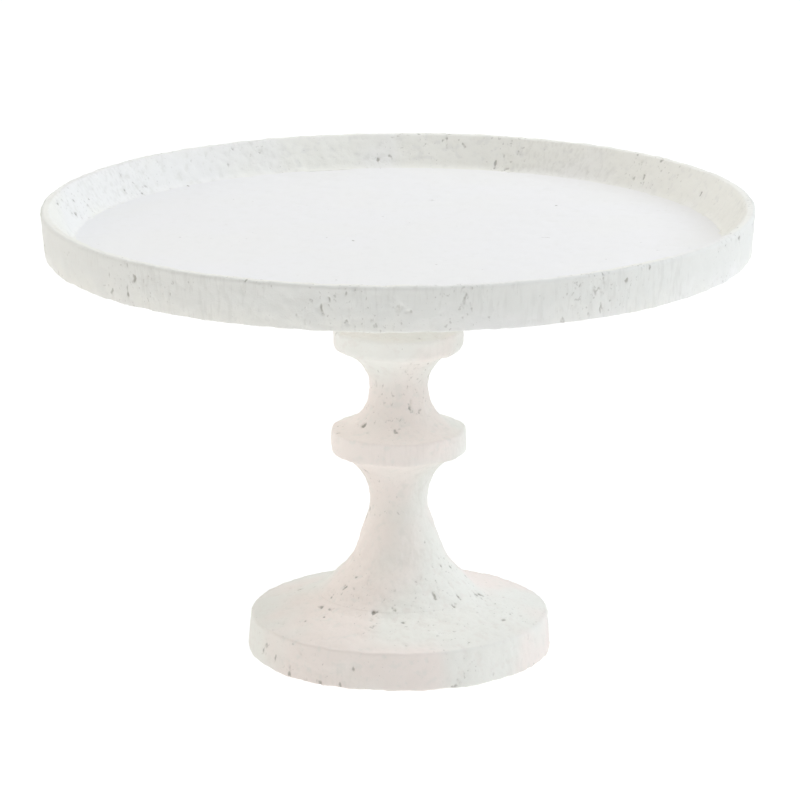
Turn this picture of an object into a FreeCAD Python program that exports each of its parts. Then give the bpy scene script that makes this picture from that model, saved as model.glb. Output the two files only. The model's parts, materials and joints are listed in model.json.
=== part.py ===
# Cake stand: a shallow round tray on a turned column and foot, pulled together by one long rod.
# Millimetres, +Z up. The origin is on the floor, under the middle of the foot.
import FreeCAD
import Part
import Sketcher
import math
import os
import re

doc = FreeCAD.newDocument("CakeStand")
sheet = doc.addObject("Spreadsheet::Sheet", "Dims")

# Driving dimensions. Radii are measured from the stand's axis, heights from the piece's own underside.
dimensions = {
    # felt feet
    "feltThick": 1.5, "feltRadius": 7.0, "feltCircle": 50.0, "feltAngle": 45.0, "feltCount": 4,
    # foot: a thick round plinth with a low domed top
    "footRadius": 65.7, "footTopRadius": 64.5, "footWallHigh": 15.2, "footToeRound": 1.4,
    "footShoulder": 63.0, "footShoulderHigh": 16.6, "footShoulderRound": 1.7,
    "footConeRadius": 40.0, "footConeHigh": 23.6, "footCoveRound": 25.0,
    "footSeatRadius": 33.0, "footHigh": 27.0,
    "recessRadius": 17.0, "recessDeep": 12.0,
    # spindle: flare, cove, ring, cove, ring, cove
    "flareLowRadius": 24.5, "flareLowHigh": 8.5, "flareRound": 25.0,
    "flareTopRadius": 18.33, "flareTopHigh": 18.6,
    "neckRadius": 13.78, "neckHigh": 33.0, "lowCoveRound": 22.8,
    "lowCoveLip": 26.0, "lowCoveHigh": 60.6,
    "ringRadius": 29.2, "ringLow": 61.1, "ringTop": 71.2, "ringRound": 1.5,
    "midCoveRadius": 27.4, "midCoveRound": 18.2, "midCoveLip": 24.6,
    "ringTopRound": 1.8, "upperRingRadius": 27.8, "upperRingLow": 106.4, "upperRingTop": 116.0,
    "upperRingLip": 3.2,
    "topCoveLip": 25.4, "topCoveRound": 12.7, "spindleHigh": 141.3,
    # mounting disc
    "discRadius": 42.0, "discThick": 9.5, "discRound": 2.0,
    # tray
    "floorRadius": 143.0, "floorThick": 5.6, "tongueThick": 4.2, "rebateClear": 0.05,
    "rimFootRadius": 151.2, "rimTopRadius": 152.5, "rimHigh": 19.5, "rimToeRound": 1.0,
    "lipRound": 1.5, "lipInner": 149.4, "lipInnerRound": 2.0, "wallTopHigh": 18.4, "wallTopRadius": 148.2,
    "wallLowRadius": 140.2, "wallLowHigh": 7.4, "wallFootRadius": 136.6, "wallFootRound": 4.6,
    # hardware: metric eight rod, nut, washer and tee nut
    "rodRadius": 4.0, "rodLong": 172.0, "rodEndLift": 2.0, "rodEndChamfer": 0.8, "rodHoleRadius": 4.3,
    "nutAcross": 13.0, "nutHigh": 6.5, "nutChamfer": 1.0, "threadClear": 0.05,
    "washerRadius": 15.0, "washerThick": 1.6,
    "teeRadius": 11.0, "teeThick": 1.5, "teeBarrelRadius": 5.0, "teeBarrelHigh": 7.0,
    "prongCircle": 9.0, "prongWide": 3.0, "prongThick": 1.2, "prongLong": 4.0, "prongCount": 4,
    "pocketClear": 0.1,
    # wood dowels and screws
    "dowelRadius": 2.5, "dowelLong": 16.0, "dowelChamfer": 0.5, "dowelClear": 0.1, "dowelCount": 2,
    "footDowelCircle": 12.5, "footDowelAngle": 90.0,
    "discDowelCircle": 8.9, "discDowelAngle": 45.0, "discDowelRise": 6.0,
    "screwCount": 4, "screwCircle": 28.0, "screwLong": 12.4, "screwHeadRadius": 3.5, "screwShankRadius": 1.75,
    "screwPointHigh": 3.0, "screwClear": 0.1, "coatOverScrew": 0.8,
}
for row, (alias, value) in enumerate(dimensions.items(), start=1):
    cell = "A" + str(row)
    sheet.set(cell, str(value))
    sheet.setAlias(cell, alias)

# Heights of the stacked pieces above the floor, worked out from the sizes above.
levels = {
    "footLevel": "=feltThick",
    "spindleLevel": "=footLevel + footHigh",
    "discLevel": "=spindleLevel + spindleHigh",
    "trayLevel": "=discLevel + discThick",
    "washerLevel": "=footLevel + recessDeep - washerThick",
    "nutLevel": "=washerLevel - nutHigh",
    "rodLevel": "=footLevel + rodEndLift",
    "teeLevel": "=trayLevel - teeThick - teeBarrelHigh",
    "screwLevel": "=trayLevel + floorThick - coatOverScrew - screwLong",
    "footDowelLevel": "=spindleLevel - dowelLong / 2",
    "discDowelLevel": "=discLevel + discDowelRise - dowelLong",
}
for row, (alias, formula) in enumerate(levels.items(), start=1):
    cell = "B" + str(row)
    sheet.set(cell, formula)
    sheet.setAlias(cell, alias)
doc.recompute()


def sized(text):
    """Writes each alias in a formula as a reference to the sheet."""
    def reference(word):
        name = word.group()
        return "Dims." + name if name in dimensions or name in levels else name

    return re.sub(r"[A-Za-z]+", reference, text)


def planeOf(body, role):
    for feature in body.Origin.OriginFeatures:
        if feature.Role == role:
            return feature


def newBody(label, level, angle=None):
    """A body whose own underside is at the level, turned about the stand's axis by the angle."""
    body = doc.addObject("PartDesign::Body", label)
    body.Label = label
    body.setExpression(".Placement.Base.z", sized(level))
    if angle:
        body.setExpression(".Placement.Rotation.Angle", sized(angle))
    return body


def drawOutline(body, name, outline, axisAt=None):
    """Draws a closed outline, counter-clockwise, in the half plane through the axis.

    A point is (radius, height); with two more words, radius of an arc and "round" or "cove", the
    edge that leads to it is that arc, bulging out of the material or into it. axisAt moves the
    whole outline out to an axis of its own, which a construction line marks.
    """
    sketch = body.newObject("Sketcher::SketchObject", name)
    sketch.AttachmentSupport = [(planeOf(body, "XZ_Plane"), "")]
    sketch.MapMode = "FlatFace"
    shift = axisAt + " + " if axisAt else ""
    across = [shift + point[0] for point in outline]
    along = [point[1] for point in outline]
    places = []
    for x, z in zip(across, along):
        places.append(FreeCAD.Vector(sheet.evalExpression(sized(x)), sheet.evalExpression(sized(z)), 0))
    ends = []
    for i, point in enumerate(outline):
        start = places[i - 1]
        end = places[i]
        if len(point) == 2:
            edge = sketch.addGeometry(Part.LineSegment(start, end), False)
            ends.append((edge, 1, 2))
            continue
        radius = sheet.evalExpression(sized(point[2]))
        chord = end - start
        left = FreeCAD.Vector(-chord.y, chord.x, 0).normalize()
        reach = math.sqrt(radius ** 2 - chord.Length ** 2 / 4)
        turn = 1 if point[3] == "round" else -1
        centre = (start + end) * 0.5 + left * reach * turn
        first = start if turn == 1 else end
        last = end if turn == 1 else start
        angles = [math.atan2(v.y - centre.y, v.x - centre.x) for v in (first, last)]
        circle = Part.Circle(centre, FreeCAD.Vector(0, 0, 1), radius)
        edge = sketch.addGeometry(Part.ArcOfCircle(circle, angles[0], angles[1]), False)
        ends.append((edge, 1, 2) if turn == 1 else (edge, 2, 1))
        size = sketch.addConstraint(Sketcher.Constraint("Radius", edge, radius))
        sketch.setExpression("Constraints[%d]" % size, sized(point[2]))
    for i, (edge, head, tail) in enumerate(ends):
        after, afterHead, afterTail = ends[(i + 1) % len(ends)]
        sketch.addConstraint(Sketcher.Constraint("Coincident", edge, tail, after, afterHead))
        for kind, text, value, line in (
            ("DistanceX", across[i], places[i].x, -2),
            ("DistanceY", along[i], places[i].y, -1),
        ):
            if text == "0":
                sketch.addConstraint(Sketcher.Constraint("PointOnObject", edge, tail, line))
            else:
                size = sketch.addConstraint(Sketcher.Constraint(kind, -1, 1, edge, tail, value))
                sketch.setExpression("Constraints[%d]" % size, sized(text))
    if axisAt:
        x = sheet.evalExpression(sized(axisAt))
        mark = Part.LineSegment(FreeCAD.Vector(x, 0, 0), FreeCAD.Vector(x, places[0].y + 1, 0))
        edge = sketch.addGeometry(mark, True)
        sketch.addConstraint(Sketcher.Constraint("Vertical", edge))
        sketch.addConstraint(Sketcher.Constraint("PointOnObject", edge, 1, -1))
        size = sketch.addConstraint(Sketcher.Constraint("DistanceX", -1, 1, edge, 1, x))
        sketch.setExpression("Constraints[%d]" % size, sized(axisAt))
    return sketch


def turned(body, name, outline, axisAt=None, kind="Revolution"):
    """Turns an outline about the stand's axis, or about an axis of its own; Groove cuts it away."""
    sketch = drawOutline(body, name + "Outline", outline, axisAt)
    feature = body.newObject("PartDesign::" + kind, name)
    feature.Profile = sketch
    feature.ReferenceAxis = (sketch, ["Axis0" if axisAt else "V_Axis"])
    feature.Angle = 360
    sketch.Visibility = False
    return feature


def drilled(body, name, radius, low, high, circle, angle):
    """Takes a round hole out of a body, from one height to another, on a circle about the axis."""
    feature = body.newObject("PartDesign::SubtractiveCylinder", name)
    feature.AttachmentSupport = [(planeOf(body, "XY_Plane"), "")]
    feature.MapMode = "FlatFace"
    feature.setExpression("Radius", sized(radius))
    feature.setExpression("Height", sized("(" + high + ") - (" + low + ")"))
    feature.setExpression(".AttachmentOffset.Base.z", sized(low))
    feature.setExpression(".AttachmentOffset.Base.x", sized(circle + " * cos(" + angle + ")"))
    feature.setExpression(".AttachmentOffset.Base.y", sized(circle + " * sin(" + angle + ")"))
    return feature


def squareTab(body, name, kind, wide, thick, low, high, circle):
    """Adds or takes away a flat tab that stands upright on a circle about the axis."""
    feature = body.newObject("PartDesign::" + kind + "Box", name)
    feature.AttachmentSupport = [(planeOf(body, "XY_Plane"), "")]
    feature.MapMode = "FlatFace"
    feature.setExpression("Length", sized(thick))
    feature.setExpression("Width", sized(wide))
    feature.setExpression("Height", sized("(" + high + ") - (" + low + ")"))
    feature.setExpression(".AttachmentOffset.Base.x", sized(circle + " - (" + thick + ") / 2"))
    feature.setExpression(".AttachmentOffset.Base.y", sized("-(" + wide + ") / 2"))
    feature.setExpression(".AttachmentOffset.Base.z", sized(low))
    return feature


def ringOf(body, feature, count):
    """Repeats a feature evenly round the stand's axis."""
    doc.recompute()
    pattern = body.newObject("PartDesign::PolarPattern", feature.Name + "Ring")
    pattern.Originals = [feature]
    pattern.Axis = (planeOf(body, "Z_Axis"), [""])
    pattern.Angle = 360
    pattern.setExpression("Occurrences", sized(count))
    body.Tip = pattern
    return pattern


def makeFeltFeet():
    body = newBody("felt_feet", "0", "feltAngle")
    outline = [("0", "0"), ("feltRadius", "0"), ("feltRadius", "feltThick"), ("0", "feltThick")]
    ringOf(body, turned(body, "FeltPad", outline, "feltCircle"), "feltCount")
    return body


def makeBase():
    """The foot: toe, wall, rounded shoulder, shallow cone, then a short cove up to the seat."""
    body = newBody("base", "footLevel")
    outline = [
        ("recessRadius", "0"),
        ("footRadius - footToeRound", "0"),
        ("footRadius", "footToeRound", "footToeRound", "round"),
        ("footTopRadius", "footWallHigh"),
        ("footShoulder", "footShoulderHigh", "footShoulderRound", "round"),
        ("footConeRadius", "footConeHigh"),
        ("footSeatRadius", "footHigh", "footCoveRound", "cove"),
        ("rodHoleRadius", "footHigh"),
        ("rodHoleRadius", "recessDeep"),
        ("recessRadius", "recessDeep"),
    ]
    turned(body, "Foot", outline)
    low = "footHigh - dowelLong / 2 - dowelClear"
    radius = "dowelRadius + dowelClear"
    hole = drilled(body, "FootDowelHole", radius, low, "footHigh", "footDowelCircle", "footDowelAngle")
    ringOf(body, hole, "dowelCount")
    return body


def makeSpindle():
    """The column: flare and neck, low cove, ring, middle cove, upper ring, top cove."""
    body = newBody("spindle", "spindleLevel")
    outline = [
        ("rodHoleRadius", "0"),
        ("footSeatRadius", "0"),
        ("flareLowRadius", "flareLowHigh"),
        ("flareTopRadius", "flareTopHigh", "flareRound", "cove"),
        ("neckRadius", "neckHigh"),
        ("lowCoveLip", "lowCoveHigh", "lowCoveRound", "cove"),
        ("ringRadius - ringRound", "ringLow"),
        ("ringRadius", "ringLow + ringRound", "ringRound", "round"),
        ("ringRadius", "ringTop - ringRound"),
        ("midCoveRadius", "ringTop", "ringTopRound", "round"),
        ("midCoveLip", "upperRingLow", "midCoveRound", "cove"),
        ("upperRingRadius", "upperRingLow + upperRingLip", "upperRingLip", "round"),
        ("upperRingRadius", "upperRingTop - ringRound"),
        ("upperRingRadius - ringRound", "upperRingTop", "ringRound", "round"),
        ("topCoveLip", "upperRingTop"),
        ("topCoveLip", "spindleHigh", "topCoveRound", "cove"),
        ("rodHoleRadius", "spindleHigh"),
    ]
    turned(body, "Column", outline)
    radius = "dowelRadius + dowelClear"
    high = "dowelLong / 2 + dowelClear"
    low = "spindleHigh - dowelLong + discDowelRise - dowelClear"
    hole = drilled(body, "LowDowelHole", radius, "0", high, "footDowelCircle", "footDowelAngle")
    ringOf(body, hole, "dowelCount")
    hole = drilled(body, "TopDowelHole", radius, low, "spindleHigh", "discDowelCircle", "discDowelAngle")
    ringOf(body, hole, "dowelCount")
    return body


def makeMountingDisc():
    """A turned disc glued under the tray, bored for the tee nut, its prongs, dowels and screws."""
    body = newBody("mounting_disc", "discLevel")
    bore = "teeBarrelRadius + threadClear"
    seat = "teeRadius + threadClear"
    outline = [
        (bore, "0"),
        ("discRadius - discRound", "0"),
        ("discRadius", "discRound", "discRound", "round"),
        ("discRadius", "discThick"),
        (seat, "discThick"),
        (seat, "discThick - teeThick"),
        (bore, "discThick - teeThick"),
    ]
    turned(body, "Disc", outline)
    radius = "dowelRadius + dowelClear"
    high = "discDowelRise + dowelClear"
    hole = drilled(body, "DiscDowelHole", radius, "0", high, "discDowelCircle", "discDowelAngle")
    ringOf(body, hole, "dowelCount")
    radius = "screwShankRadius + screwClear"
    low = "screwLevel - discLevel"
    outline = [
        ("0", low),
        (radius, low + " + screwPointHigh"),
        (radius, "discThick"),
        ("0", "discThick"),
    ]
    ringOf(body, turned(body, "DiscScrewHole", outline, "screwCircle", "Groove"), "screwCount")
    low = "discThick - teeThick - prongLong - pocketClear"
    wide = "prongWide + 2 * pocketClear"
    thick = "prongThick + 2 * pocketClear"
    slot = squareTab(body, "ProngSlot", "Subtractive", wide, thick, low, "discThick - teeThick", "prongCircle")
    ringOf(body, slot, "prongCount")
    return body


def makeTrayFloor():
    """A round panel with a thinner tongue round its edge, which lies under the hoop's ledge.

    The screw heads lie in countersinks that the finish coat closes over.
    """
    body = newBody("tray_floor", "trayLevel")
    face = "wallFootRadius - rebateClear"
    outline = [
        ("0", "0"),
        ("floorRadius", "0"),
        ("floorRadius", "tongueThick"),
        (face, "tongueThick"),
        (face, "floorThick"),
        ("0", "floorThick"),
    ]
    turned(body, "Panel", outline)
    radius = "screwShankRadius + screwClear"
    top = "floorThick - coatOverScrew"
    outline = [
        ("0", "0"),
        (radius, "0"),
        (radius, top + " - screwHeadRadius + screwShankRadius"),
        ("screwHeadRadius + screwClear", top),
        ("0", top),
    ]
    ringOf(body, turned(body, "FloorScrewHole", outline, "screwCircle", "Groove"), "screwCount")
    return body


def makeTrayRim():
    """The hoop: outer wall, rounded lip, inner wall that leans outwards, and the floor's rebate."""
    body = newBody("tray_rim", "trayLevel")
    rebate = "floorRadius + rebateClear"
    outline = [
        (rebate, "0"),
        ("rimFootRadius - rimToeRound", "0"),
        ("rimFootRadius", "rimToeRound", "rimToeRound", "round"),
        ("rimTopRadius", "rimHigh - lipRound"),
        ("rimTopRadius - lipRound", "rimHigh", "lipRound", "round"),
        ("lipInner", "rimHigh"),
        ("wallTopRadius", "wallTopHigh", "lipInnerRound", "round"),
        ("wallLowRadius", "wallLowHigh"),
        ("wallFootRadius", "floorThick", "wallFootRound", "cove"),
        ("wallFootRadius", "tongueThick"),
        (rebate, "tongueThick"),
    ]
    turned(body, "Hoop", outline)
    return body


def makeTieRod():
    body = newBody("tie_rod", "rodLevel")
    end = "rodRadius - rodEndChamfer"
    outline = [
        ("0", "0"),
        (end, "0"),
        ("rodRadius", "rodEndChamfer"),
        ("rodRadius", "rodLong - rodEndChamfer"),
        (end, "rodLong"),
        ("0", "rodLong"),
    ]
    turned(body, "Rod", outline)
    return body


def makeTeeNut():
    """Flange up, barrel down, with four prongs that bite into the disc."""
    body = newBody("tee_nut", "teeLevel")
    bore = "rodRadius + threadClear"
    outline = [
        (bore, "0"),
        ("teeBarrelRadius", "0"),
        ("teeBarrelRadius", "teeBarrelHigh"),
        ("teeRadius", "teeBarrelHigh"),
        ("teeRadius", "teeBarrelHigh + teeThick"),
        (bore, "teeBarrelHigh + teeThick"),
    ]
    turned(body, "Flange", outline)
    low = "teeBarrelHigh - prongLong"
    high = "teeBarrelHigh + teeThick / 2"
    prong = squareTab(body, "Prong", "Additive", "prongWide", "prongThick", low, high, "prongCircle")
    ringOf(body, prong, "prongCount")
    return body


def makeRodWasher():
    body = newBody("rod_washer", "washerLevel")
    outline = [
        ("rodHoleRadius", "0"),
        ("washerRadius", "0"),
        ("washerRadius", "washerThick"),
        ("rodHoleRadius", "washerThick"),
    ]
    turned(body, "Washer", outline)
    return body


def makeRodNut():
    """A hexagon prism cut by a turned, chamfered and bored blank."""
    blank = newBody("NutBlank", "0")
    bore = "rodRadius + threadClear"
    corner = "nutAcross / sqrt(3) + 0.1"
    flat = "nutAcross / 2 - 0.1"
    rise = "(nutAcross / sqrt(3) - nutAcross / 2) * tan(30)"
    outline = [
        (bore + " + nutChamfer", "0"),
        (flat, "0"),
        (corner, rise),
        (corner, "nutHigh - (" + rise + ")"),
        (flat, "nutHigh"),
        (bore + " + nutChamfer", "nutHigh"),
        (bore, "nutHigh - nutChamfer"),
        (bore, "nutChamfer"),
    ]
    turned(blank, "NutTurning", outline)
    prism = doc.addObject("Part::Prism", "NutPrism")
    prism.Polygon = 6
    prism.setExpression("Circumradius", sized("nutAcross / sqrt(3)"))
    prism.setExpression("Height", sized("nutHigh"))
    nut = doc.addObject("Part::Common", "rod_nut")
    nut.Label = "rod_nut"
    nut.Base = blank
    nut.Tool = prism
    nut.setExpression(".Placement.Base.z", sized("nutLevel"))
    return nut


def makeDowels(label, level, circle, angle):
    body = newBody(label, level, angle)
    end = "dowelRadius - dowelChamfer"
    outline = [
        ("0", "0"),
        (end, "0"),
        ("dowelRadius", "dowelChamfer"),
        ("dowelRadius", "dowelLong - dowelChamfer"),
        (end, "dowelLong"),
        ("0", "dowelLong"),
    ]
    ringOf(body, turned(body, label.title().replace("_", "") + "Pin", outline, circle), "dowelCount")
    return body


def makeTrayScrews():
    body = newBody("tray_screws", "screwLevel")
    outline = [
        ("0", "0"),
        ("screwShankRadius", "screwPointHigh"),
        ("screwShankRadius", "screwLong - screwHeadRadius + screwShankRadius"),
        ("screwHeadRadius", "screwLong"),
        ("0", "screwLong"),
    ]
    ringOf(body, turned(body, "Screw", outline, "screwCircle"), "screwCount")
    return body


def isWhole(item):
    """A recomputed object with no error and, where it has one, a valid shape."""
    if "Invalid" in item.State or "Error" in item.State:
        return False
    shape = getattr(item, "Shape", None)
    return shape is None or item.TypeId.startswith("Sketcher") or shape.isNull() or shape.isValid()


pieces = [
    makeFeltFeet(),
    makeBase(),
    makeSpindle(),
    makeMountingDisc(),
    makeTrayFloor(),
    makeTrayRim(),
    makeTieRod(),
    makeTeeNut(),
    makeRodWasher(),
    makeRodNut(),
    makeDowels("base_dowels", "footDowelLevel", "footDowelCircle", "footDowelAngle"),
    makeDowels("disc_dowels", "discDowelLevel", "discDowelCircle", "discDowelAngle"),
    makeTrayScrews(),
]
doc.recompute()

faults = [item.Name for item in doc.Objects if not isWhole(item)]
faults += [piece.Label for piece in pieces if piece.Shape.isNull() or not piece.Shape.isValid()]
if faults:
    raise RuntimeError("these objects are not sound: " + ", ".join(faults))

os.makedirs("parts", exist_ok=True)
for piece in pieces:
    shape = piece.Shape
    shape.exportStep("parts/" + piece.Label + ".step")
    box = shape.BoundBox
    print("%-14s %2d solids %9.0f mm3  z %.2f to %.2f  r %.2f" % (
        piece.Label, len(shape.Solids), shape.Volume, box.ZMin, box.ZMax, box.XMax))
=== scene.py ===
import bpy
import json
import math
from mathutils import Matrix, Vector


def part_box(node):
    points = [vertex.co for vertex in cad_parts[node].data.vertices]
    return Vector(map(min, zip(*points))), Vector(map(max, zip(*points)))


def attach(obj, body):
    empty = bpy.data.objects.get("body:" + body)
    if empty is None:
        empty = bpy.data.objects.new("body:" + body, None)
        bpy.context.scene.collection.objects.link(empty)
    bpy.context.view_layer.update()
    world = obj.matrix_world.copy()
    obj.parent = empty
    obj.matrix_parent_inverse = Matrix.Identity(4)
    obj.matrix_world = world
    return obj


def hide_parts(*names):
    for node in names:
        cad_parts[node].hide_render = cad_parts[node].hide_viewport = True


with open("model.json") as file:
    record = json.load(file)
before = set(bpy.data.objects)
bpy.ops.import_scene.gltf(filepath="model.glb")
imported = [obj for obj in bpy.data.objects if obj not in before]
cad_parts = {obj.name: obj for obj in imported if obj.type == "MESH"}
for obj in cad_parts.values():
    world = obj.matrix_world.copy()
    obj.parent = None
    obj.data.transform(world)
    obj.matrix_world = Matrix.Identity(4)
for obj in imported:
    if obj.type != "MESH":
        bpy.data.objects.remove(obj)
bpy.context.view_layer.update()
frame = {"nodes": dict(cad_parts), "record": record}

mm = 0.001
rootBody = "root"
footLow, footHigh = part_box("base")
spindleLow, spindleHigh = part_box("spindle")
discLow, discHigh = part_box("mounting_disc")
floorLow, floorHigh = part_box("tray_floor")
rimLow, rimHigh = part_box("tray_rim")
padLow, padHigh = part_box("felt_feet")
rodLow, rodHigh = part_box("tie_rod")


def srgb(code):
    # a hex colour as it looks on screen, turned to the linear values that shaders want
    channels = [int(code[i:i + 2], 16) / 255 for i in (1, 3, 5)]
    linear = [c / 12.92 if c <= 0.04045 else ((c + 0.055) / 1.055) ** 2.4 for c in channels]
    return (*linear, 1.0)


def addNode(tree, kind, inputs=None, **settings):
    # adds a node, sets its properties, fills each input with a value or a link, gives its first output
    node = tree.nodes.new(kind)
    for name, value in settings.items():
        setattr(node, name, value)
    for name, value in (inputs or {}).items():
        if isinstance(value, bpy.types.NodeSocket):
            tree.links.new(value, node.inputs[name])
        else:
            node.inputs[name].default_value = value
    return node.outputs[0] if node.outputs else None


# The coat's relief is shared by the meshes and the shader, so that each pit is both a dent and a mark.
# A size is the width of one lump, a height is how far it can stand out or sink in, and a shift picks
# which part of the endless pattern lands on the piece.
coatRelief = {
    "swell": {"size": 45 * mm, "height": 0.24 * mm},    # the turning itself, sanded by hand
    "lump": {"size": 9 * mm, "height": 0.58 * mm},      # paste that went on thick or thin
    "dab": {"size": 3.6 * mm, "height": 0.24 * mm},     # dabs of the sponge
    "grit": {"size": 1.4 * mm, "height": 0.13 * mm},    # sand in the paste
    "stroke": {"size": 1.6 * mm, "height": 0.22 * mm, "flow": 0.16, "patch": 40 * mm,
               "patchRange": (0.48, 0.60), "patchShift": (-0.20, -0.15, 0.07)},
    "pit": {"size": 3.5 * mm, "deep": 0.62 * mm, "flow": 0.60},     # burst bubbles, drawn out downwards
    "prick": {"size": 1.5 * mm, "deep": 0.30 * mm, "flow": 0.8},
    # where pits crowd: from the first level of range to the second, more and more of them open
    "cluster": {"size": 30 * mm, "gain": 0.100, "soft": 0.17, "range": (0.42, 0.64),
                "shift": (0.03, -0.25, 0.14)},
}
coatNoise = {"detail": 1.6, "roughness": 0.5, "patchDetail": 1.0}
uprightRange = (0.7, 0.35)      # 1 is a level face: no strokes above the first, all of them below the second


def coatFields(tree, place, pitStart):
    # one noise for each kind of mark, and how open each pit is, all from 0 to 1
    fields = {}
    for name, mark in coatRelief.items():
        spot = place
        if "flow" in mark:
            stretch = {0: place, 1: (1.0, 1.0, mark["flow"])}
            spot = addNode(tree, "ShaderNodeVectorMath", stretch, operation="MULTIPLY")
        if "shift" in mark:
            spot = addNode(tree, "ShaderNodeVectorMath", {0: place, 1: mark["shift"]}, operation="ADD")
        inputs = {"Vector": spot, "Scale": 1 / mark["size"], "Detail": coatNoise["detail"],
                  "Roughness": coatNoise["roughness"]}
        fields[name] = addNode(tree, "ShaderNodeTexNoise", inputs)
    cluster, stroke = coatRelief["cluster"], coatRelief["stroke"]
    few, many = cluster["range"]
    gain = {"Value": fields["cluster"], 1: few, 2: many, 3: 0.0, 4: cluster["gain"]}
    gain = addNode(tree, "ShaderNodeMapRange", gain, interpolation_type="SMOOTHSTEP")
    start = addNode(tree, "ShaderNodeMath", {0: pitStart, 1: gain}, operation="SUBTRACT")
    end = addNode(tree, "ShaderNodeMath", {0: start, 1: cluster["soft"]}, operation="ADD")
    for name in ("pit", "prick"):
        opening = {"Value": fields[name], 1: start, 2: end}
        fields[name] = addNode(tree, "ShaderNodeMapRange", opening, interpolation_type="SMOOTHSTEP")
    spot = {0: place, 1: stroke["patchShift"]}
    spot = addNode(tree, "ShaderNodeVectorMath", spot, operation="ADD")
    patch = {"Vector": spot, "Scale": 1 / stroke["patch"], "Detail": coatNoise["patchDetail"]}
    bare, brushed = stroke["patchRange"]
    patch = {"Value": addNode(tree, "ShaderNodeTexNoise", patch), 1: bare, 2: brushed}
    fields["strokePatch"] = addNode(tree, "ShaderNodeMapRange", patch, interpolation_type="SMOOTHSTEP")
    return fields


def newMaterial(name):
    material = bpy.data.materials.new(name)
    material.use_nodes = True
    tree = material.node_tree
    place = addNode(tree, "ShaderNodeTexCoord").node.outputs["Object"]
    return material, tree, tree.nodes["Principled BSDF"], place


def sandedGessoCoat(name, finish):
    # Gesso: chalk and sand in a binder, sponged and brushed on thick over turned wood and left raw.
    # To the eye: flat chalky white with no shine, faint patches, and greyed pits where bubbles burst.
    material, tree, shader, place = newMaterial(name)
    fields = coatFields(tree, place, finish["pitStart"])
    spot = addNode(tree, "ShaderNodeVectorMath", {0: place, 1: finish["patchShift"]}, operation="ADD")
    patches = {"Vector": spot, "Scale": 1 / finish["patch"], "Detail": 2.0}
    patches = addNode(tree, "ShaderNodeTexNoise", patches)
    shallow, deep = finish["streakRange"]
    streak = addNode(tree, "ShaderNodeMapRange", {"Value": fields["stroke"], 1: shallow, 2: deep})
    streak = addNode(tree, "ShaderNodeMath", {0: streak, 1: fields["strokePatch"]}, operation="MULTIPLY")
    # distance from the axis, used to paint shade on the rim's outer side
    flat = addNode(tree, "ShaderNodeVectorMath", {0: place, 1: (1.0, 1.0, 0.0)}, operation="MULTIPLY")
    radius = addNode(tree, "ShaderNodeVectorMath", {0: flat}, operation="LENGTH").node.outputs["Value"]
    color = srgb(finish["cool"])
    layers = (
        (patches, *finish["patchRange"], 1.0, finish["warm"]),
        # from the first edge radius outwards: painted shade, the rim's outer side made greyer
        (radius, *finish["edge"], 1.0, finish["paintedOuterShade"]),
        (fields["dab"], *finish["dabThin"], finish["thin"]),
        (fields["grit"], *finish["gritThin"], finish["thin"]),
        (streak, 0.0, 1.0, finish["streak"], finish["pit"]),
        (fields["prick"], *finish["prickDark"], finish["pit"]),
        (fields["pit"], *finish["pitDark"], finish["pit"]),
    )
    for field, none, full, most, tint in layers:
        share = {"Value": field, 1: none, 2: full, 3: 0.0, 4: most}
        share = addNode(tree, "ShaderNodeMapRange", share, interpolation_type="SMOOTHSTEP")
        mix = {0: share, 6: color, 7: srgb(tint)}
        color = addNode(tree, "ShaderNodeMix", mix, data_type="RGBA").node.outputs[2]
    tree.links.new(color, shader.inputs["Base Color"])
    shader.inputs["Roughness"].default_value = finish["roughness"]
    shader.inputs["IOR"].default_value = finish["ior"]
    sand = {"Vector": place, "Scale": 1 / finish["sand"], "Detail": 2.0, "Roughness": 0.6}
    sand = addNode(tree, "ShaderNodeTexNoise", sand)
    height = addNode(tree, "ShaderNodeMath", {0: sand, 1: fields["pit"]}, operation="SUBTRACT")
    bump = {"Height": height, "Strength": finish["bumpStrength"], "Distance": finish["bumpHeight"]}
    tree.links.new(addNode(tree, "ShaderNodeBump", bump), shader.inputs["Normal"])
    return material


def brightZincPlate():
    # Zinc electroplated on mild steel, dipped in a clear passivate. To the eye: bright, slightly blue
    # and cloudy, with fine rolling marks.
    finish = {"color": "#C9CCD0", "dull": "#A9ADB3", "clear": 0.30, "cloudy": 0.44,
              "cloud": 4 * mm, "cloudRange": (0.3, 0.7), "mark": 0.8 * mm, "markAlong": 8.0,
              "markHeight": 0.04 * mm, "markStrength": 0.3}
    material, tree, shader, place = newMaterial("brightZincPlate")
    cloud = {"Vector": place, "Scale": 1 / finish["cloud"], "Detail": 3.0}
    cloud = addNode(tree, "ShaderNodeTexNoise", cloud)
    mix = {0: cloud, 6: srgb(finish["dull"]), 7: srgb(finish["color"])}
    color = addNode(tree, "ShaderNodeMix", mix, data_type="RGBA").node.outputs[2]
    tree.links.new(color, shader.inputs["Base Color"])
    shader.inputs["Metallic"].default_value = 1.0
    thick, thin = finish["cloudRange"]
    blur = {"Value": cloud, 1: thick, 2: thin, 3: finish["cloudy"], 4: finish["clear"]}
    tree.links.new(addNode(tree, "ShaderNodeMapRange", blur), shader.inputs["Roughness"])
    along = {0: place, 1: (1.0, 1.0, finish["markAlong"])}
    along = addNode(tree, "ShaderNodeVectorMath", along, operation="MULTIPLY")
    marks = {"Vector": along, "Scale": 1 / finish["mark"], "Detail": 1.0}
    marks = addNode(tree, "ShaderNodeTexNoise", marks)
    bump = {"Height": marks, "Strength": finish["markStrength"], "Distance": finish["markHeight"]}
    tree.links.new(addNode(tree, "ShaderNodeBump", bump), shader.inputs["Normal"])
    return material


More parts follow.
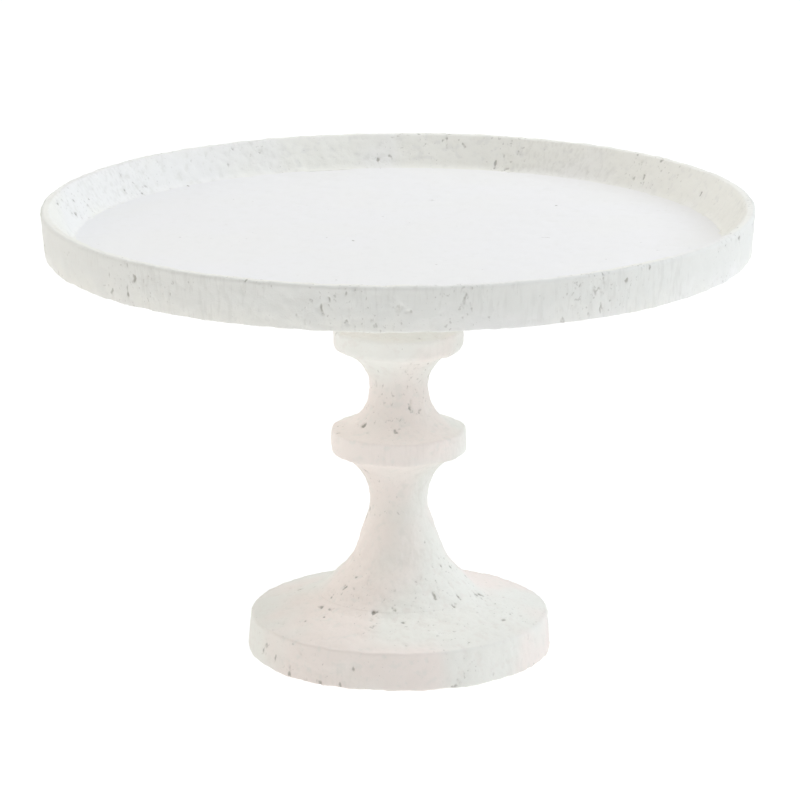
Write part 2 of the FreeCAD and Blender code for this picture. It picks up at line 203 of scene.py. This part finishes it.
def beechDowelRod():
    # Beech, planed to a rod and left bare. To the eye: pale pinkish tan with short dark flecks along it.
    finish = {"light": "#D9B88C", "dark": "#B98F63", "roughness": 0.6, "grain": 0.6 * mm,
              "along": 0.12, "fleckRange": (0.42, 0.62), "grainHeight": 0.05 * mm,
              "grainStrength": 0.4}
    material, tree, shader, place = newMaterial("beechDowelRod")
    along = {0: place, 1: (1.0, 1.0, finish["along"])}
    along = addNode(tree, "ShaderNodeVectorMath", along, operation="MULTIPLY")
    grain = {"Vector": along, "Scale": 1 / finish["grain"], "Detail": 2.0}
    grain = addNode(tree, "ShaderNodeTexNoise", grain)
    dark, light = finish["fleckRange"]
    fleck = addNode(tree, "ShaderNodeMapRange", {"Value": grain, 1: dark, 2: light})
    mix = {0: fleck, 6: srgb(finish["dark"]), 7: srgb(finish["light"])}
    color = addNode(tree, "ShaderNodeMix", mix, data_type="RGBA").node.outputs[2]
    tree.links.new(color, shader.inputs["Base Color"])
    shader.inputs["Roughness"].default_value = finish["roughness"]
    bump = {"Height": grain, "Strength": finish["grainStrength"], "Distance": finish["grainHeight"]}
    tree.links.new(addNode(tree, "ShaderNodeBump", bump), shader.inputs["Normal"])
    return material


def pressedWoolFelt():
    # Wool felt, wetted, pressed and punched to discs. To the eye: soft oatmeal with crossing fibres.
    finish = {"light": "#DDD8CD", "dark": "#B4AC9D", "roughness": 1.0, "sheen": 0.3,
              "fibre": 0.35 * mm, "along": 0.3, "fibreRange": (0.45, 0.70),
              "fibreHeight": 0.15 * mm, "fibreStrength": 0.8}
    material, tree, shader, place = newMaterial("pressedWoolFelt")
    weave = 0.0
    for lay in ((1.0, finish["along"], 1.0), (finish["along"], 1.0, 1.0)):
        along = addNode(tree, "ShaderNodeVectorMath", {0: place, 1: lay}, operation="MULTIPLY")
        fibres = {"Vector": along, "Scale": 1 / finish["fibre"], "Detail": 3.0, "Roughness": 0.7}
        fibres = addNode(tree, "ShaderNodeTexNoise", fibres)
        weave = addNode(tree, "ShaderNodeMath", {0: weave, 1: fibres}, operation="MAXIMUM")
    dark, light = finish["fibreRange"]
    share = addNode(tree, "ShaderNodeMapRange", {"Value": weave, 1: dark, 2: light})
    mix = {0: share, 6: srgb(finish["dark"]), 7: srgb(finish["light"])}
    color = addNode(tree, "ShaderNodeMix", mix, data_type="RGBA").node.outputs[2]
    tree.links.new(color, shader.inputs["Base Color"])
    shader.inputs["Roughness"].default_value = finish["roughness"]
    shader.inputs["Sheen Weight"].default_value = finish["sheen"]
    bump = {"Height": weave, "Strength": finish["fibreStrength"], "Distance": finish["fibreHeight"]}
    tree.links.new(addNode(tree, "ShaderNodeBump", bump), shader.inputs["Normal"])
    return material


# Sand and patch are sizes, and a lower pitStart gives more pits. From the first edge radius to the
# second the coat turns greyer: painted shade on the rim's outer side. A range is the noise level where a
# tint begins and where it is full. The Thin and Dark rows give the same two levels, then how strong the tint
# gets.
rimCoat = {"cool": "#F5F5F3", "warm": "#F5F5EF", "thin": "#EBEBE7", "pit": "#A5A29B", "pitStart": 0.70,
           "paintedOuterShade": "#ECEDE9", "edge": (150.2 * mm, 151.5 * mm), "streak": 0.09,
           "streakRange": (0.52, 0.36), "patch": 55 * mm, "patchRange": (0.42, 0.60),
           "patchShift": (-0.35, -0.34, -0.29), "dabThin": (0.46, 0.28, 0.6),
           "gritThin": (0.38, 0.24, 0.6), "prickDark": (0.0, 0.8, 0.35), "pitDark": (0.0, 0.9, 0.75),
           "sand": 0.7 * mm, "roughness": 0.92, "ior": 1.5, "bumpStrength": 0.6,
           "bumpHeight": 0.22 * mm}
floorCoat = dict(rimCoat, cool="#F4F4F4", warm="#F4F4F3", thin="#F1F1F0", pitStart=0.79, streak=0.0)
pedestalCoat = dict(rimCoat, cool="#F2F2EC", warm="#F7EFE9", thin="#EDEAE4", pitStart=0.715, streak=0.04,
                    patchShift=(0.22, 0.03, -0.18))
tray = sandedGessoCoat("sandedGessoRim", rimCoat)
panelCoat = sandedGessoCoat("sandedGessoFloor", floorCoat)
pedestal = sandedGessoCoat("sandedGessoPedestal", pedestalCoat)
zinc = brightZincPlate()
felt = pressedWoolFelt()
nodeFinish = {"coated_wood": pedestal, "zinc_steel": zinc, "dowel_wood": beechDowelRod(), "felt": felt}
print("materials made")


def newTree(name, sizes):
    # a modifier tree with one named input for each size
    tree = bpy.data.node_groups.new(name, "GeometryNodeTree")
    tree.is_modifier = True
    tree.interface.new_socket(name="Geometry", in_out="INPUT", socket_type="NodeSocketGeometry")
    for label, kind in sizes.items():
        tree.interface.new_socket(name=label, in_out="INPUT", socket_type="NodeSocket" + kind)
    tree.interface.new_socket(name="Geometry", in_out="OUTPUT", socket_type="NodeSocketGeometry")
    return tree, addNode(tree, "NodeGroupInput").node.outputs


def spreadCoat(tree, geometry, inputs):
    # Pushes a smooth mesh in and out by the coat's fields. Strokes only show on upright walls, and the
    # inset moves the whole skin inwards, which makes room for its high spots.
    place = addNode(tree, "GeometryNodeInputPosition")
    normal = addNode(tree, "GeometryNodeInputNormal")
    fields = coatFields(tree, place, inputs["Pit Start"])
    upright = addNode(tree, "ShaderNodeSeparateXYZ", {0: normal}).node.outputs["Z"]
    upright = addNode(tree, "ShaderNodeMath", {0: upright}, operation="ABSOLUTE")
    level, steep = uprightRange
    upright = addNode(tree, "ShaderNodeMapRange", {"Value": upright, 1: level, 2: steep})
    brushed = {0: upright, 1: fields["strokePatch"]}
    brushed = addNode(tree, "ShaderNodeMath", brushed, operation="MULTIPLY")
    total = addNode(tree, "ShaderNodeMath", {0: inputs["Inset"], 1: -1.0}, operation="MULTIPLY")
    for name in ("swell", "lump", "dab", "grit", "stroke", "pit", "prick"):
        mark = coatRelief[name]
        low, high = (-mark["height"], mark["height"]) if "height" in mark else (0.0, -mark["deep"])
        part = addNode(tree, "ShaderNodeMapRange", {"Value": fields[name], 3: low, 4: high})
        if name == "stroke":
            part = addNode(tree, "ShaderNodeMath", {0: part, 1: brushed}, operation="MULTIPLY")
        total = addNode(tree, "ShaderNodeMath", {0: total, 1: part}, operation="ADD")
    total = addNode(tree, "ShaderNodeMath", {0: total, 1: inputs["Relief"]}, operation="MULTIPLY")
    offset = addNode(tree, "ShaderNodeVectorMath", {0: normal, "Scale": total}, operation="SCALE")
    return addNode(tree, "GeometryNodeSetPosition", {"Geometry": geometry, "Offset": offset})


def finishTree(tree, geometry, inputs):
    smooth = addNode(tree, "GeometryNodeSetShadeSmooth", {0: geometry})
    whole = addNode(tree, "GeometryNodeRealizeInstances", {0: smooth})
    addNode(tree, "NodeGroupOutput", {0: addNode(tree, "GeometryNodeSetMaterial",
                                                 {0: whole, "Material": inputs["Material"]})})
    return tree


weldGap = 0.002 * mm    # points closer than this become one, which closes seams and poles
coatSizes = {"Pit Start": "Float", "Relief": "Float", "Inset": "Float", "Material": "Material"}


def turnOutline(tree, inputs):
    # a lathe: the outline is swept round a circle, and its seam and poles are closed
    outline = addNode(tree, "GeometryNodeMeshToCurve", {0: inputs["Geometry"]})
    circle = addNode(tree, "GeometryNodeCurvePrimitiveCircle",
                     {"Resolution": inputs["Segments"], "Radius": inputs["Turn Radius"]})
    skin = addNode(tree, "GeometryNodeCurveToMesh", {"Curve": circle, "Profile Curve": outline})
    return addNode(tree, "GeometryNodeMergeByDistance", {0: skin, "Distance": weldGap})


def latheTree():
    tree, inputs = newTree("coatedTurning", {"Turn Radius": "Float", "Segments": "Int", **coatSizes})
    return finishTree(tree, spreadCoat(tree, turnOutline(tree, inputs), inputs), inputs)


def panelTree():
    # a round panel with even faces all over: a square grid pressed into a disc, then given its thickness
    tree, inputs = newTree("coatedPanel", {"Radius": "Float", "Top": "Float", "Thickness": "Float",
                                           "Cells": "Int", **coatSizes})
    count = addNode(tree, "ShaderNodeMath", {0: inputs["Cells"], 1: 1.0}, operation="ADD")
    grid = addNode(tree, "GeometryNodeMeshGrid", {"Size X": 2.0, "Size Y": 2.0,
                                                  "Vertices X": count, "Vertices Y": count})
    spot = addNode(tree, "GeometryNodeInputPosition")
    split = addNode(tree, "ShaderNodeSeparateXYZ", {0: spot}).node.outputs
    sides = {"Z": inputs["Top"]}
    for own, other in (("X", "Y"), ("Y", "X")):
        squeeze = addNode(tree, "ShaderNodeMath", {0: split[other], 1: 2.0}, operation="POWER")
        squeeze = addNode(tree, "ShaderNodeMapRange", {"Value": squeeze, 2: 2.0, 3: 1.0, 4: 0.0})
        squeeze = addNode(tree, "ShaderNodeMath", {0: squeeze}, operation="SQRT")
        side = addNode(tree, "ShaderNodeMath", {0: split[own], 1: squeeze}, operation="MULTIPLY")
        side = {0: side, 1: inputs["Radius"]}
        sides[own] = addNode(tree, "ShaderNodeMath", side, operation="MULTIPLY")
    spot = addNode(tree, "ShaderNodeCombineXYZ", sides)
    top = addNode(tree, "GeometryNodeSetPosition", {"Geometry": grid, "Position": spot})
    down = addNode(tree, "ShaderNodeMath", {0: inputs["Thickness"], 1: -1.0}, operation="MULTIPLY")
    down = addNode(tree, "ShaderNodeCombineXYZ", {"Z": down})
    under = addNode(tree, "GeometryNodeFlipFaces", {0: top})
    wall = addNode(tree, "GeometryNodeExtrudeMesh",
                   {"Mesh": under, "Offset": down, "Offset Scale": 1.0, "Individual": False})
    both = addNode(tree, "GeometryNodeJoinGeometry", {0: wall})
    tree.links.new(top, both.node.inputs[0])
    closed = addNode(tree, "GeometryNodeMergeByDistance", {0: both, "Distance": weldGap})
    return finishTree(tree, spreadCoat(tree, closed, inputs), inputs)


def padTree():
    # one turned pad, set down on a ring of points, with a little fuzz
    tree, inputs = newTree("feltPads", {"Turn Radius": "Float", "Segments": "Int", "Count": "Int",
                                        "Ring Radius": "Float", "First Angle": "Float", "Fuzz": "Float",
                                        "Fuzz Size": "Float", "Material": "Material"})
    index = addNode(tree, "GeometryNodeInputIndex")
    turn = addNode(tree, "ShaderNodeMath", {0: index, 1: inputs["Count"]}, operation="DIVIDE")
    angle = {"Value": turn, 3: inputs["First Angle"]}
    fullTurn = {0: inputs["First Angle"], 1: 2 * math.pi}
    angle[4] = addNode(tree, "ShaderNodeMath", fullTurn, operation="ADD")
    angle = addNode(tree, "ShaderNodeMapRange", angle)
    spots = {}
    for axis, operation in (("X", "COSINE"), ("Y", "SINE")):
        share = addNode(tree, "ShaderNodeMath", {0: angle}, operation=operation)
        share = {0: share, 1: inputs["Ring Radius"]}
        spots[axis] = addNode(tree, "ShaderNodeMath", share, operation="MULTIPLY")
    spots = addNode(tree, "ShaderNodeCombineXYZ", spots)
    points = addNode(tree, "GeometryNodePoints", {"Count": inputs["Count"], "Position": spots})
    pads = addNode(tree, "GeometryNodeInstanceOnPoints",
                   {"Points": points, "Instance": turnOutline(tree, inputs)})
    whole = addNode(tree, "GeometryNodeRealizeInstances", {0: pads})
    size = addNode(tree, "ShaderNodeMath", {0: 1.0, 1: inputs["Fuzz Size"]}, operation="DIVIDE")
    fuzz = addNode(tree, "ShaderNodeTexNoise", {"Scale": size, "Detail": 2.0})
    fuzz = addNode(tree, "ShaderNodeMath", {0: fuzz, 1: inputs["Fuzz"]}, operation="MULTIPLY")
    fuzz = addNode(tree, "ShaderNodeMath", {0: 0.0, 1: fuzz}, operation="SUBTRACT")
    offset = {0: addNode(tree, "GeometryNodeInputNormal"), "Scale": fuzz}
    offset = addNode(tree, "ShaderNodeVectorMath", offset, operation="SCALE")
    rough = addNode(tree, "GeometryNodeSetPosition", {"Geometry": whole, "Offset": offset})
    return finishTree(tree, rough, inputs)


def grow(name, mesh, tree, values):
    # runs a tree on a mesh and keeps the result as a plain mesh object at the origin
    holder = bpy.data.objects.new(name + "Holder", mesh)
    bpy.context.scene.collection.objects.link(holder)
    modifier = holder.modifiers.new("grow", "NODES")
    modifier.node_group = tree
    for item in tree.interface.items_tree:
        if item.in_out == "INPUT" and item.name in values:
            modifier[item.identifier] = values[item.name]
    graph = bpy.context.evaluated_depsgraph_get()
    plain = bpy.data.meshes.new_from_object(holder.evaluated_get(graph))
    bpy.data.objects.remove(holder)
    plain.name = name
    piece = bpy.data.objects.new(name, plain)
    bpy.context.scene.collection.objects.link(piece)
    print("made", name, sum(len(face.vertices) - 2 for face in plain.polygons), "triangles")
    return piece


def traceOutline(points, step):
    # Walks an outline of (radius, height) points, metres, up the outside and in to the axis. A point
    # with two more values is reached along an arc: its radius, and 1 to bulge out or -1 to hollow in.
    # The walk is cut into stretches no longer than step.
    walk = [points[0][:2]]
    for point in points[1:]:
        (x0, z0), (x1, z1) = walk[-1], point[:2]
        dx, dz = x1 - x0, z1 - z0
        chord = math.hypot(dx, dz)
        if len(point) == 2:
            count = max(1, math.ceil(chord / step))
            walk += [(x0 + dx * i / count, z0 + dz * i / count) for i in range(1, count + 1)]
            continue
        radius, side = max(point[2], chord / 2), point[3]
        reach = math.sqrt(radius ** 2 - chord ** 2 / 4)
        cx = (x0 + x1) / 2 - dz / chord * reach * side
        cz = (z0 + z1) / 2 + dx / chord * reach * side
        start = math.atan2(z0 - cz, x0 - cx)
        sweep = 2 * math.asin(chord / 2 / radius) * side
        count = max(2, math.ceil(abs(sweep) * radius / step))
        for i in range(1, count + 1):
            angle = start + sweep * i / count
            walk.append((cx + radius * math.cos(angle), cz + radius * math.sin(angle)))
    return walk


def outlineMesh(name, walk, turnRadius):
    # the lathe wants the outline measured outwards from its circle and downwards
    spots = [(radius - turnRadius, -height, 0) for radius, height in reversed(walk)]
    mesh = bpy.data.meshes.new(name + "Outline")
    mesh.from_pydata(spots, [(i, i + 1) for i in range(len(spots) - 1)], [])
    return mesh


def turnPiece(name, walk, size, coat, material):
    turnRadius = max(radius for radius, height in walk) / 2
    values = {"Turn Radius": turnRadius, "Segments": size["segments"], "Relief": size["relief"],
              "Inset": size["inset"], "Pit Start": coat["pitStart"], "Material": material}
    return grow(name, outlineMesh(name, walk, turnRadius), lathe, values)


def settle(piece, slot, *nodes):
    # a finished piece rides with the one body and stands for its CAD nodes
    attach(piece, rootBody)
    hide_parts(*nodes)


lathe = latheTree()
panel = panelTree()
pads = padTree()
print("geometry trees made")


trayRim = {"step": 0.66 * mm, "coarse": 2.0 * mm, "segments": 1200, "relief": 1.0, "inset": 0.37 * mm,
           "footInset": 1.6 * mm, "toeRound": 1.0 * mm, "lipRound": 1.7 * mm, "lipFlat": 3.9 * mm,
           "lipWide": 5.1 * mm, "lipInnerRound": 2.0 * mm, "lipDrop": 1.1 * mm,
           "wallLean": 7.2 * mm, "wallRise": 1.8 * mm, "coveRound": 4.6 * mm, "coveWide": 3.6 * mm,
           "ledgeWide": 6.4 * mm, "tuckWide": 0.5 * mm, "tuckDeep": 0.6 * mm}


def makeTrayRim():
    size = trayRim
    outer, low, high = rimHigh.x, rimLow.z - size["inset"], rimHigh.z
    floorTop = floorHigh.z
    foot = outer - size["footInset"]
    lipInner = outer - size["lipWide"]
    wallLow = lipInner - size["wallLean"]
    wallFoot = wallLow - size["coveWide"]
    ledge = wallFoot + size["ledgeWide"]
    tucked = (wallFoot - size["tuckWide"], floorTop - size["tuckDeep"])     # slips under the floor's coat
    shown = traceOutline([
        (foot - size["toeRound"], low),
        (foot, low + size["toeRound"], size["toeRound"], 1),
        (outer, high - size["lipRound"]),
        (outer - size["lipRound"], high, size["lipRound"], 1),
        (outer - size["lipFlat"], high),
        (lipInner, high - size["lipDrop"], size["lipInnerRound"], 1),
        (wallLow, floorTop + size["wallRise"]),
        (wallFoot, floorTop, size["coveRound"], -1),
        tucked,
    ], size["step"])
    hidden = traceOutline([
        tucked,
        (ledge, floorTop - size["tuckDeep"]),
        (ledge, low),
        (foot - size["toeRound"], low),
    ], size["coarse"])
    piece = turnPiece("trayRim", shown + hidden[1:], size, rimCoat, tray)
    settle(piece, "coated_wood", "tray_rim")


makeTrayRim()


trayFloor = {"cells": 205, "relief": 0.45, "inset": 0.34 * mm}


def makeTrayFloor():
    values = {"Radius": floorHigh.x, "Top": floorHigh.z, "Thickness": floorHigh.z - floorLow.z,
              "Cells": trayFloor["cells"], "Relief": trayFloor["relief"], "Inset": trayFloor["inset"],
              "Pit Start": floorCoat["pitStart"], "Material": panelCoat}
    piece = grow("trayFloor", bpy.data.meshes.new("trayFloorSeed"), panel, values)
    settle(piece, "coated_wood", "tray_floor")


makeTrayFloor()


# heights are measured up from the piece's own underside
spindle = {"step": 0.62 * mm, "segments": 240, "relief": 1.25, "inset": 0.02 * mm, "lap": 2.4 * mm,
           "lapRadius": 35.5 * mm, "lapHigh": -1.65 * mm, "lapRound": 25 * mm,
           "flare": (24.6 * mm, 8.8 * mm), "waist": (18.5 * mm, 18.6 * mm), "waistRound": 25 * mm,
           "neck": (13.70 * mm, 33.0 * mm),
           "lowCove": (26.0 * mm, 60.6 * mm), "lowCoveRound": 22.8 * mm,
           "ringRadius": 29.1 * mm, "ringLow": 61.1 * mm, "ringTop": 71.35 * mm, "ringRound": 1.3 * mm,
           "ringLip": 27.5 * mm, "midCove": (24.8 * mm, 106.4 * mm), "midCoveRound": 18.15 * mm,
           "upperRadius": 27.9 * mm, "upperTop": 116.0 * mm, "upperLip": 3.2 * mm,
           "upperRound": 1.5 * mm, "topLip": 25.4 * mm, "topCoveRound": 12.7 * mm, "overlap": 0.4 * mm}


def makeSpindle():
    size = spindle
    low, high = spindleLow.z, spindleHigh.z
    seat = spindleHigh.x
    ring, upper = size["ringRadius"], size["upperRadius"]
    shoulder = size["ringRound"]
    ringLow, ringTop, upperTop = (low + size[name] for name in ("ringLow", "ringTop", "upperTop"))
    upperLow = low + size["midCove"][1] + size["upperLip"]
    walk = traceOutline([
        (0.0, low - size["lap"]),       # the coat runs on over the joint with the foot
        (size["lapRadius"], low - size["lap"]),
        (size["lapRadius"], low + size["lapHigh"]),
        (seat, low, size["lapRound"], -1),
        (size["flare"][0], low + size["flare"][1]),
        (size["waist"][0], low + size["waist"][1], size["waistRound"], -1),
        (size["neck"][0], low + size["neck"][1]),
        (size["lowCove"][0], low + size["lowCove"][1], size["lowCoveRound"], -1),
        (ring - shoulder, ringLow),
        (ring, ringLow + shoulder, shoulder, 1),
        (ring, ringTop - shoulder),
        (size["ringLip"], ringTop, shoulder, 1),
        (size["midCove"][0], low + size["midCove"][1], size["midCoveRound"], -1),
        (upper, upperLow, size["upperLip"], 1),
        (upper, upperTop - size["upperRound"]),
        (upper - size["upperRound"], upperTop, size["upperRound"], 1),
        (size["topLip"], upperTop),
        (size["topLip"], high, size["topCoveRound"], -1),
        (size["topLip"], high + size["overlap"]),
        (0.0, high + size["overlap"]),
    ], size["step"])
    piece = turnPiece("turnedSpindle", walk, size, pedestalCoat, pedestal)
    settle(piece, "coated_wood", "spindle")


makeSpindle()


base = {"step": 0.62 * mm, "coarse": 2.0 * mm, "segments": 550, "relief": 1.25, "inset": 0.02 * mm,
        "toeRound": 0.8 * mm, "wallInset": 1.2 * mm, "wallHigh": 15.3 * mm, "shoulderInset": 2.9 * mm,
        "shoulderHigh": 16.6 * mm, "shoulderRound": 1.5 * mm, "cone": (39.5 * mm, 23.4 * mm),
        "coveRound": 25 * mm, "lap": (-1.5 * mm, 1.0 * mm), "holeRadius": 4.3 * mm,
        "recessRadius": 17.0 * mm, "recessDeep": 12.0 * mm}


def makeBase():
    size = base
    low, high = footLow.z, footHigh.z
    radius, seat = footHigh.x, spindleHigh.x
    hole, recess = size["holeRadius"], size["recessRadius"]
    roof = low + size["recessDeep"]
    lapped = (seat + size["lap"][0], high + size["lap"][1])     # slips up inside the spindle's coat
    shown = traceOutline([
        (radius - size["toeRound"], low),
        (radius, low + size["toeRound"], size["toeRound"], 1),
        (radius - size["wallInset"], low + size["wallHigh"]),
        (radius - size["shoulderInset"], low + size["shoulderHigh"], size["shoulderRound"], 1),
        (size["cone"][0], low + size["cone"][1]),
        (seat, high, size["coveRound"], -1),
        lapped,
    ], size["step"])
    hidden = traceOutline([
        lapped,
        (hole, lapped[1]),
        (hole, roof),
        (recess, roof),
        (recess, low),
        shown[0],
    ], size["coarse"])
    piece = turnPiece("turnedBase", shown + hidden[1:], size, pedestalCoat, pedestal)
    settle(piece, "coated_wood", "base")


makeBase()


mountingDisc = {"step": 1.0 * mm, "segments": 260, "relief": 0.8, "inset": 0.33 * mm, "round": 2.0 * mm,
                "overlap": 0.3 * mm}


def makeMountingDisc():
    size = mountingDisc
    low, high = discLow.z, discHigh.z
    radius, top = discHigh.x, high + size["overlap"]
    walk = traceOutline([
        (0.0, low),
        (radius - size["round"], low),
        (radius, low + size["round"], size["round"], 1),
        (radius, top),
        (0.0, top),
    ], size["step"])
    piece = turnPiece("mountingDisc", walk, size, rimCoat, tray)
    settle(piece, "coated_wood", "mounting_disc")


makeMountingDisc()


feltPads = {"radius": 7.0 * mm, "edgeRound": 0.4 * mm, "step": 0.35 * mm, "segments": 90, "count": 4,
            "firstAngle": 45.0, "fuzz": 0.12 * mm, "fuzzSize": 0.8 * mm}


def makeFeltPads():
    size = feltPads
    low, high = padLow.z, padHigh.z
    radius, edge = size["radius"], size["edgeRound"]
    walk = traceOutline([
        (0.0, low),
        (radius - edge, low),
        (radius, low + edge, edge, 1),
        (radius, high - edge),
        (radius - edge, high, edge, 1),
        (0.0, high),
    ], size["step"])
    ringRadius = (padHigh.x - radius) / math.cos(math.radians(size["firstAngle"]))
    values = {"Turn Radius": radius / 2, "Segments": size["segments"], "Count": size["count"],
              "Ring Radius": ringRadius, "First Angle": math.radians(size["firstAngle"]),
              "Fuzz": size["fuzz"], "Fuzz Size": size["fuzzSize"], "Material": felt}
    piece = grow("feltPads", outlineMesh("feltPads", walk, radius / 2), pads, values)
    settle(piece, "felt", "felt_feet")


makeFeltPads()


# a crestFlat above 1 leaves the thread a narrow flat crest
tieRod = {"pitch": 1.25 * mm, "threadDeep": 0.62 * mm, "endTaper": 0.9 * mm, "crestFlat": 1.25,
          "turnPoints": 40, "pitchPoints": 6}


def makeTieRod():
    # all-thread rod: a right-hand thread rolled along its whole length, with tapered ends
    size = tieRod
    radius, low, high = rodHigh.x, rodLow.z, rodHigh.z
    rows = round((high - low) / size["pitch"] * size["pitchPoints"])
    around = size["turnPoints"]
    spots = []
    for row in range(rows + 1):
        height = low + (high - low) * row / rows
        end = min(height - low, high - height, size["endTaper"])
        crest = radius - (size["endTaper"] - end)
        for i in range(around):
            angle = 2 * math.pi * i / around
            turn = (height / size["pitch"] - i / around) % 1.0
            groove = 1.0 - min(1.0, abs(2.0 * turn - 1.0) * size["crestFlat"])
            spot = min(crest, radius - size["threadDeep"] * groove)
            spots.append((spot * math.cos(angle), spot * math.sin(angle), height))
    faces = [(row * around + i, row * around + (i + 1) % around,
              (row + 1) * around + (i + 1) % around, (row + 1) * around + i)
             for row in range(rows) for i in range(around)]
    faces += [tuple(reversed(range(around))), tuple(range(rows * around, (rows + 1) * around))]
    mesh = bpy.data.meshes.new("tieRod")
    mesh.from_pydata(spots, [], faces)
    mesh.materials.append(zinc)
    piece = bpy.data.objects.new("tieRod", mesh)
    bpy.context.scene.collection.objects.link(piece)
    settle(piece, "zinc_steel", "tie_rod")
    print("made tieRod", len(faces), "faces")


makeTieRod()


# every CAD node gets its finish, and those that no piece replaces show it
slots = {item["node"]: item["material_slot"] for item in frame["record"]["subparts"]}
for name, item in frame["nodes"].items():
    item.data.materials.clear()
    item.data.materials.append(nodeFinish[slots[name]])
print("finishes given to", len(slots), "nodes")


# wallHigh gives where the lit wall begins to fade and where it ends, as sines of the angle above level
studio = {"floorSize": 40.0, "floorWhite": "#949494", "floorGlow": 0.82, "floorRoughness": 0.9,
          "wallGlow": 0.8, "ceilingGlow": 0.0, "wallHigh": (0.05, 0.10)}

softboxes = {
    # name: power in watts, size in metres, place, colour
    "keySoftbox": (20.5, 1.2, (1.75, 0.1, 1.3), "#F3F8FF"),
    "rightBackSoftbox": (5.0, 1.2, (1.5, 1.3, 1.0), "#F3F8FF"),
    "leftSoftbox": (6.5, 1.2, (-1.8, -0.1, 0.95), "#FFF3E3"),
    "leftBackSoftbox": (12.0, 1.2, (-1.5, 1.3, 1.0), "#FFFFFF"),
    "topSoftbox": (27.0, 1.6, (0.0, 0.2, 2.6), "#FFFFFF"),
    "backSoftbox": (4.0, 1.8, (0.0, 2.2, 1.5), "#FFFFFF"),
    "frontSoftbox": (16.0, 1.4, (0.0, -2.2, 1.8), "#FFFFFF"),
}


def makeStage():
    half = studio["floorSize"] / 2
    corners = [(-half, -half, 0), (half, -half, 0), (half, half, 0), (-half, half, 0)]
    mesh = bpy.data.meshes.new("studioFloor")
    mesh.from_pydata(corners, [], [(0, 1, 2, 3)])
    stage = bpy.data.objects.new("studioFloor", mesh)
    bpy.context.scene.collection.objects.link(stage)
    material, tree, shader, place = newMaterial("litStudioPaper")
    shader.inputs["Base Color"].default_value = srgb(studio["floorWhite"])
    shader.inputs["Roughness"].default_value = studio["floorRoughness"]
    shader.inputs["Emission Color"].default_value = srgb("#FFFFFF")
    shader.inputs["Emission Strength"].default_value = studio["floorGlow"]
    mesh.materials.append(material)


def makeSoftbox(name, power, size, spot, color):
    data = bpy.data.lights.new(name, "AREA")
    data.energy = power
    data.size = size
    data.color = srgb(color)[:3]
    lamp = bpy.data.objects.new(name, data)
    lamp.location = spot
    aim = Vector((0, 0, spindleHigh.z))
    lamp.rotation_euler = (aim - lamp.location).to_track_quat("-Z", "Y").to_euler()
    lamp.visible_camera = False
    bpy.context.scene.collection.objects.link(lamp)


def makeStudio():
    makeStage()
    for name, box in softboxes.items():
        makeSoftbox(name, *box)
    world = bpy.data.worlds.new("studioRoom")
    world.use_nodes = True
    tree = world.node_tree
    rise = addNode(tree, "ShaderNodeTexCoord").node.outputs["Generated"]
    rise = addNode(tree, "ShaderNodeSeparateXYZ", {0: rise}).node.outputs["Z"]
    low, high = studio["wallHigh"]
    glow = {"Value": rise, 1: low, 2: high, 3: studio["wallGlow"], 4: studio["ceilingGlow"]}
    tree.links.new(addNode(tree, "ShaderNodeMapRange", glow), tree.nodes["Background"].inputs["Color"])
    bpy.context.scene.world = world
    bpy.context.scene.view_settings.view_transform = "Standard"


# a long lens from far off; angles in degrees, and the aim is where the view crosses the stand's axis
productView = {"lens": 206.9, "away": 1.982, "elevation": 14.88, "roll": -0.17,
               "aimHigh": 0.1119, "aimSide": 0.0006}


def makeCamera():
    view = productView
    tilt = math.radians(view["elevation"])
    data = bpy.data.cameras.new("productCamera")
    data.lens = view["lens"]
    camera = bpy.data.objects.new("productCamera", data)
    camera.location = (view["aimSide"], -view["away"] * math.cos(tilt),
                       view["aimHigh"] + view["away"] * math.sin(tilt))
    camera.rotation_mode = "ZYX"
    camera.rotation_euler = (math.pi / 2 - tilt, 0.0, math.radians(view["roll"]))
    bpy.context.scene.collection.objects.link(camera)
    bpy.context.scene.camera = camera


makeStudio()
makeCamera()
print("studio ready")
